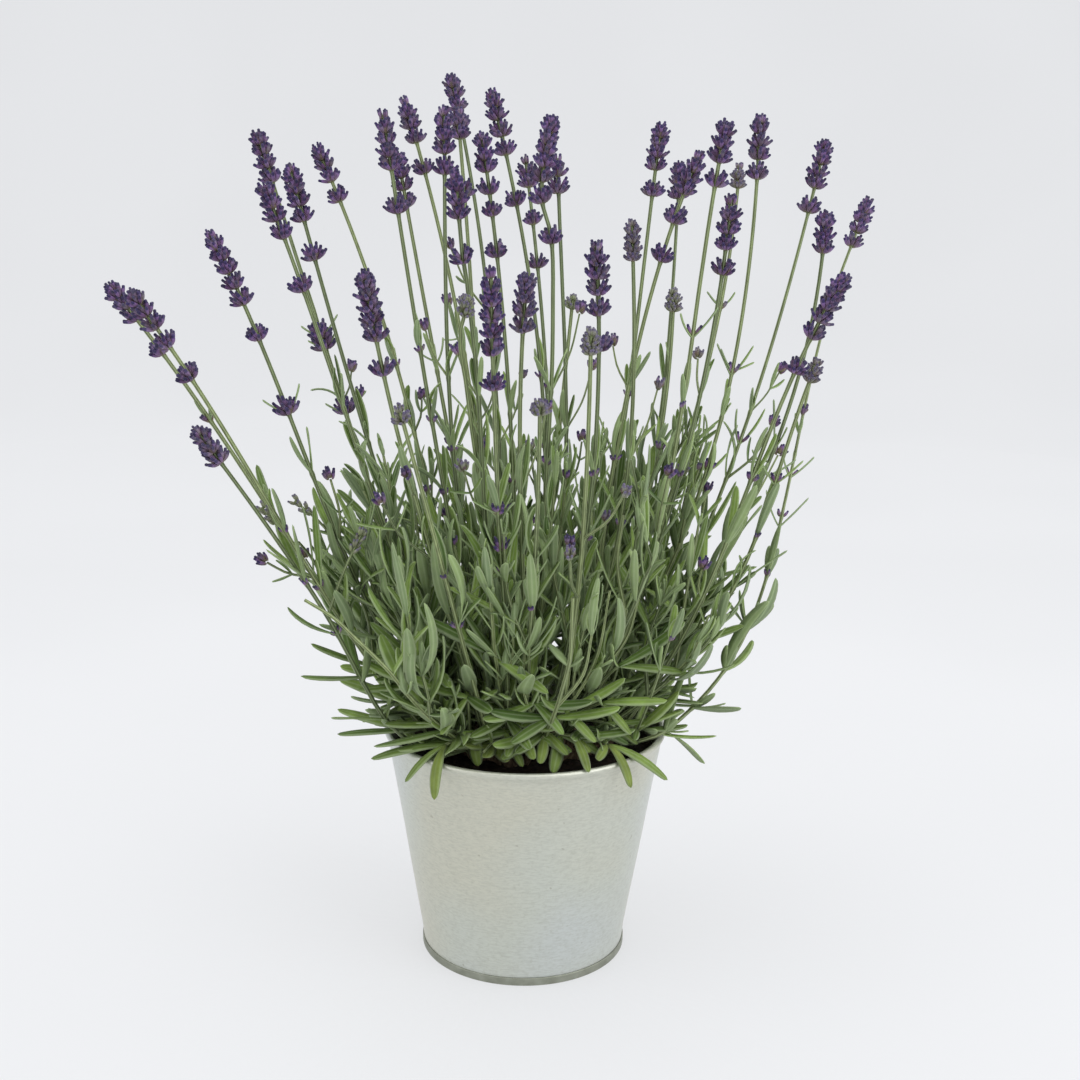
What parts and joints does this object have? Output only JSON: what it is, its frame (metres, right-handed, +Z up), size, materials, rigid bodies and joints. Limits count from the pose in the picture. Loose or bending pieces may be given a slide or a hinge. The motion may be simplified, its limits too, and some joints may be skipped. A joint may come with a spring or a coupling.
{
  "type": "potted lavender",
  "caption": "Lavender plant with long upright stems and purple flower heads, growing from soil in a small tapered zinc pot.",
  "frame": {"origin": "middle of the circle that the pot stands on, on the standing surface", "axes": "+Z up; -Y towards the viewer of the plant's front; +X to the viewer's right"},
  "size_m": [0.3238, 0.22, 0.3863],
  "materials": {
    "galvanised_zinc": "satin",
    "potting_soil": "matte",
    "lavender_wood": "matte",
    "flower_stem": "matte",
    "leaf": "matte"
  },
  "bodies": {
    "root": {"pot_wall": "galvanised_zinc", "pot_base": "galvanised_zinc", "potting_soil": "potting_soil", "woody_crown": "lavender_wood", "flower_stem_01": "flower_stem", "flower_stem_02": "flower_stem", "flower_stem_03": "flower_stem", "flower_stem_04": "flower_stem", "flower_stem_05": "flower_stem", "flower_stem_06": "flower_stem", "flower_stem_07": "flower_stem", "flower_stem_08": "flower_stem", "flower_stem_09": "flower_stem", "flower_stem_10": "flower_stem", "flower_stem_11": "flower_stem", "flower_stem_12": "flower_stem", "flower_stem_13": "flower_stem", "flower_stem_14": "flower_stem", "flower_stem_15": "flower_stem", "flower_stem_16": "flower_stem", "flower_stem_17": "flower_stem", "flower_stem_18": "flower_stem", "flower_stem_19": "flower_stem", "flower_stem_20": "flower_stem", "flower_stem_21": "flower_stem", "flower_stem_22": "flower_stem", "flower_stem_23": "flower_stem", "flower_stem_24": "flower_stem", "flower_stem_25": "flower_stem", "flower_stem_26": "flower_stem", "flower_stem_27": "flower_stem", "flower_stem_28": "flower_stem", "flower_stem_29": "flower_stem", "flower_stem_30": "flower_stem", "flower_stem_31": "flower_stem", "flower_stem_32": "flower_stem", "flower_stem_33": "flower_stem", "flower_stem_34": "flower_stem", "flower_stem_35": "flower_stem", "flower_stem_36": "flower_stem", "flower_stem_37": "flower_stem", "flower_stem_38": "flower_stem", "flower_stem_39": "flower_stem", "flower_stem_40": "flower_stem", "flower_stem_41": "flower_stem", "flower_stem_42": "flower_stem", "flower_stem_43": "flower_stem", "leafy_shoot_01": "leaf", "leafy_shoot_02": "leaf", "leafy_shoot_03": "leaf", "leafy_shoot_04": "leaf", "leafy_shoot_05": "leaf", "leafy_shoot_06": "leaf", "leafy_shoot_07": "leaf", "leafy_shoot_08": "leaf", "leafy_shoot_09": "leaf", "leafy_shoot_10": "leaf", "leafy_shoot_11": "leaf", "leafy_shoot_12": "leaf", "leafy_shoot_13": "leaf"}
  },
  "joints": []
}
